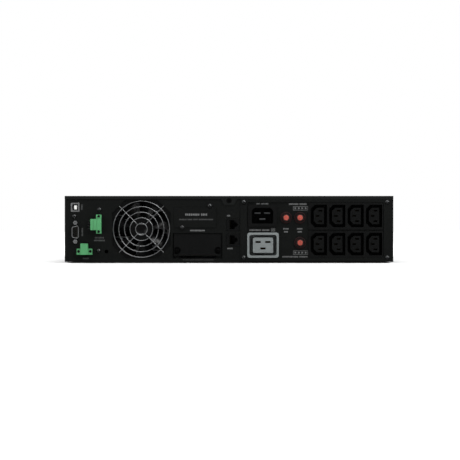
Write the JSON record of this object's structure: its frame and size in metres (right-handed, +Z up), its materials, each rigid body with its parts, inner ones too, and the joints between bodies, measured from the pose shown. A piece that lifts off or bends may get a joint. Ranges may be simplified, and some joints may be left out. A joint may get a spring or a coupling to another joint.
{
  "type": "rackmount uninterruptible power supply",
  "caption": "Two-unit rackmount power supply with sliding battery tray, snap-off front door, turning round display, guarded fan, power outlets and reset breakers on the rear.",
  "frame": {"origin": "middle of the width, on the underside, in the plane of the rack rails (rear face of the ears)", "axes": "+Y from the front to the rear panel, +Z up, +X to the right of someone facing the front"},
  "size_m": [0.4826, 0.641, 0.088],
  "materials": {
    "case_paint": "satin black powder coat",
    "cover_paint": "satin black powder coat",
    "zinc_steel": "zinc plated",
    "nickel": "nickel plated",
    "chrome_wire": "bright plated wire",
    "black_screw": "black zinc",
    "dark_screw": "dark zinc",
    "nylon": "natural nylon",
    "black_plastic": "moulded, matt",
    "gloss_black": "moulded, glossy",
    "grey_plastic": "moulded, matt",
    "white_plastic": "moulded",
    "green_plastic": "moulded",
    "red_plastic": "moulded, satin",
    "blue_plastic": "moulded",
    "brown_plastic": "moulded",
    "bezel_plastic": "moulded, fine texture",
    "window": "clear",
    "circuit_board": "solder mask",
    "brass": "bare",
    "copper_winding": "enamelled",
    "core_steel": "varnished",
    "aluminium": "extruded",
    "capacitor_sleeve": "shrink sleeve",
    "battery_case": "moulded"
  },
  "bodies": {
    "chassis": {"chassis_base": "case_paint", "top_cover": "cover_paint", "rear_panel": "case_paint", "outlet_panel": "case_paint", "front_frame": "case_paint", "bay_divider": "zinc_steel", "bay_guides": "nylon", "rack_ears": "case_paint", "chassis_screws": "black_screw", "panel_screws": "dark_screw", "fan_frame": "black_plastic", "fan_guard": "chrome_wire", "fan_nuts": "zinc_steel", "usb_shell": "nickel", "usb_tongue": "white_plastic", "serial_shell": "nickel", "serial_insert": "black_plastic", "serial_jackscrews": "nickel", "relay_plug": "green_plastic", "epo_plug": "green_plastic", "terminal_fittings": "dark_screw", "terminal_headers": "green_plastic", "signal_boards": "circuit_board", "network_jacks": "black_plastic", "expansion_cover": "case_paint", "battery_port_cover": "black_plastic", "dc_connectors": "black_plastic", "ac_inlet": "black_plastic", "inlet_pins": "nickel", "outlet_c19": "grey_plastic", "outlet_bank_upper": "black_plastic", "outlet_bank_lower": "black_plastic", "socket_contacts": "brass", "breaker_bodies": "black_plastic", "breaker_collars": "black_plastic", "power_board": "circuit_board", "heat_sinks": "aluminium", "capacitors": "capacitor_sleeve", "chokes": "copper_winding", "transformer": "core_steel", "relays": "blue_plastic", "front_bezel": "bezel_plastic"},
    "battery_tray": {"battery_tray": "zinc_steel", "battery_blocks": "battery_case", "battery_terminals": "nickel", "battery_straps": "zinc_steel", "battery_handle": "chrome_wire", "battery_plug": "brown_plastic", "tray_screws": "nickel"},
    "battery_door": {"battery_door": "bezel_plastic"},
    "display": {"display_housing": "bezel_plastic", "display_window": "window"},
    "display_button_1": {"display_button_1": "grey_plastic"},
    "display_button_2": {"display_button_2": "grey_plastic"},
    "display_button_3": {"display_button_3": "grey_plastic"},
    "power_button": {"power_button": "grey_plastic"},
    "fan_rotor": {"fan_rotor": "gloss_black"},
    "breaker_button_1": {"breaker_button_1": "red_plastic"},
    "breaker_button_2": {"breaker_button_2": "red_plastic"},
    "breaker_button_3": {"breaker_button_3": "red_plastic"}
  },
  "joints": [
    {"name": "breaker_1_trip", "type": "slide", "parent": "chassis", "child": "breaker_button_1", "axis": [0, 1, 0], "range_m": [0, 0.003]},
    {"name": "breaker_2_trip", "type": "slide", "parent": "chassis", "child": "breaker_button_2", "axis": [0, 1, 0], "range_m": [0, 0.003]},
    {"name": "breaker_3_trip", "type": "slide", "parent": "chassis", "child": "breaker_button_3", "axis": [0, 1, 0], "range_m": [0, 0.003]},
    {"name": "fan_spin", "type": "hinge", "parent": "chassis", "child": "fan_rotor", "pos_m": [0.1168, 0.585, 0.0436], "axis": [0, 1, 0], "continuous": true},
    {"name": "tray_slide", "type": "slide", "parent": "chassis", "child": "battery_tray", "axis": [0, -1, 0], "range_m": [0, 0.33]},
    {"name": "door_pull", "type": "slide", "parent": "battery_tray", "child": "battery_door", "axis": [0, -1, 0], "range_m": [0, 0.06]},
    {"name": "display_turn", "type": "hinge", "parent": "chassis", "child": "display", "pos_m": [0.158, -0.02, 0.044], "axis": [0, 1, 0], "range_deg": [0, 90]},
    {"name": "display_key_1_press", "type": "slide", "parent": "display", "child": "display_button_1", "axis": [0, 1, 0], "range_m": [0, 0.001]},
    {"name": "display_key_2_press", "type": "slide", "parent": "display", "child": "display_button_2", "axis": [0, 1, 0], "range_m": [0, 0.001]},
    {"name": "display_key_3_press", "type": "slide", "parent": "display", "child": "display_button_3", "axis": [0, 1, 0], "range_m": [0, 0.001]},
    {"name": "power_press", "type": "slide", "parent": "chassis", "child": "power_button", "axis": [0, 1, 0], "range_m": [0, 0.0015]}
  ]
}
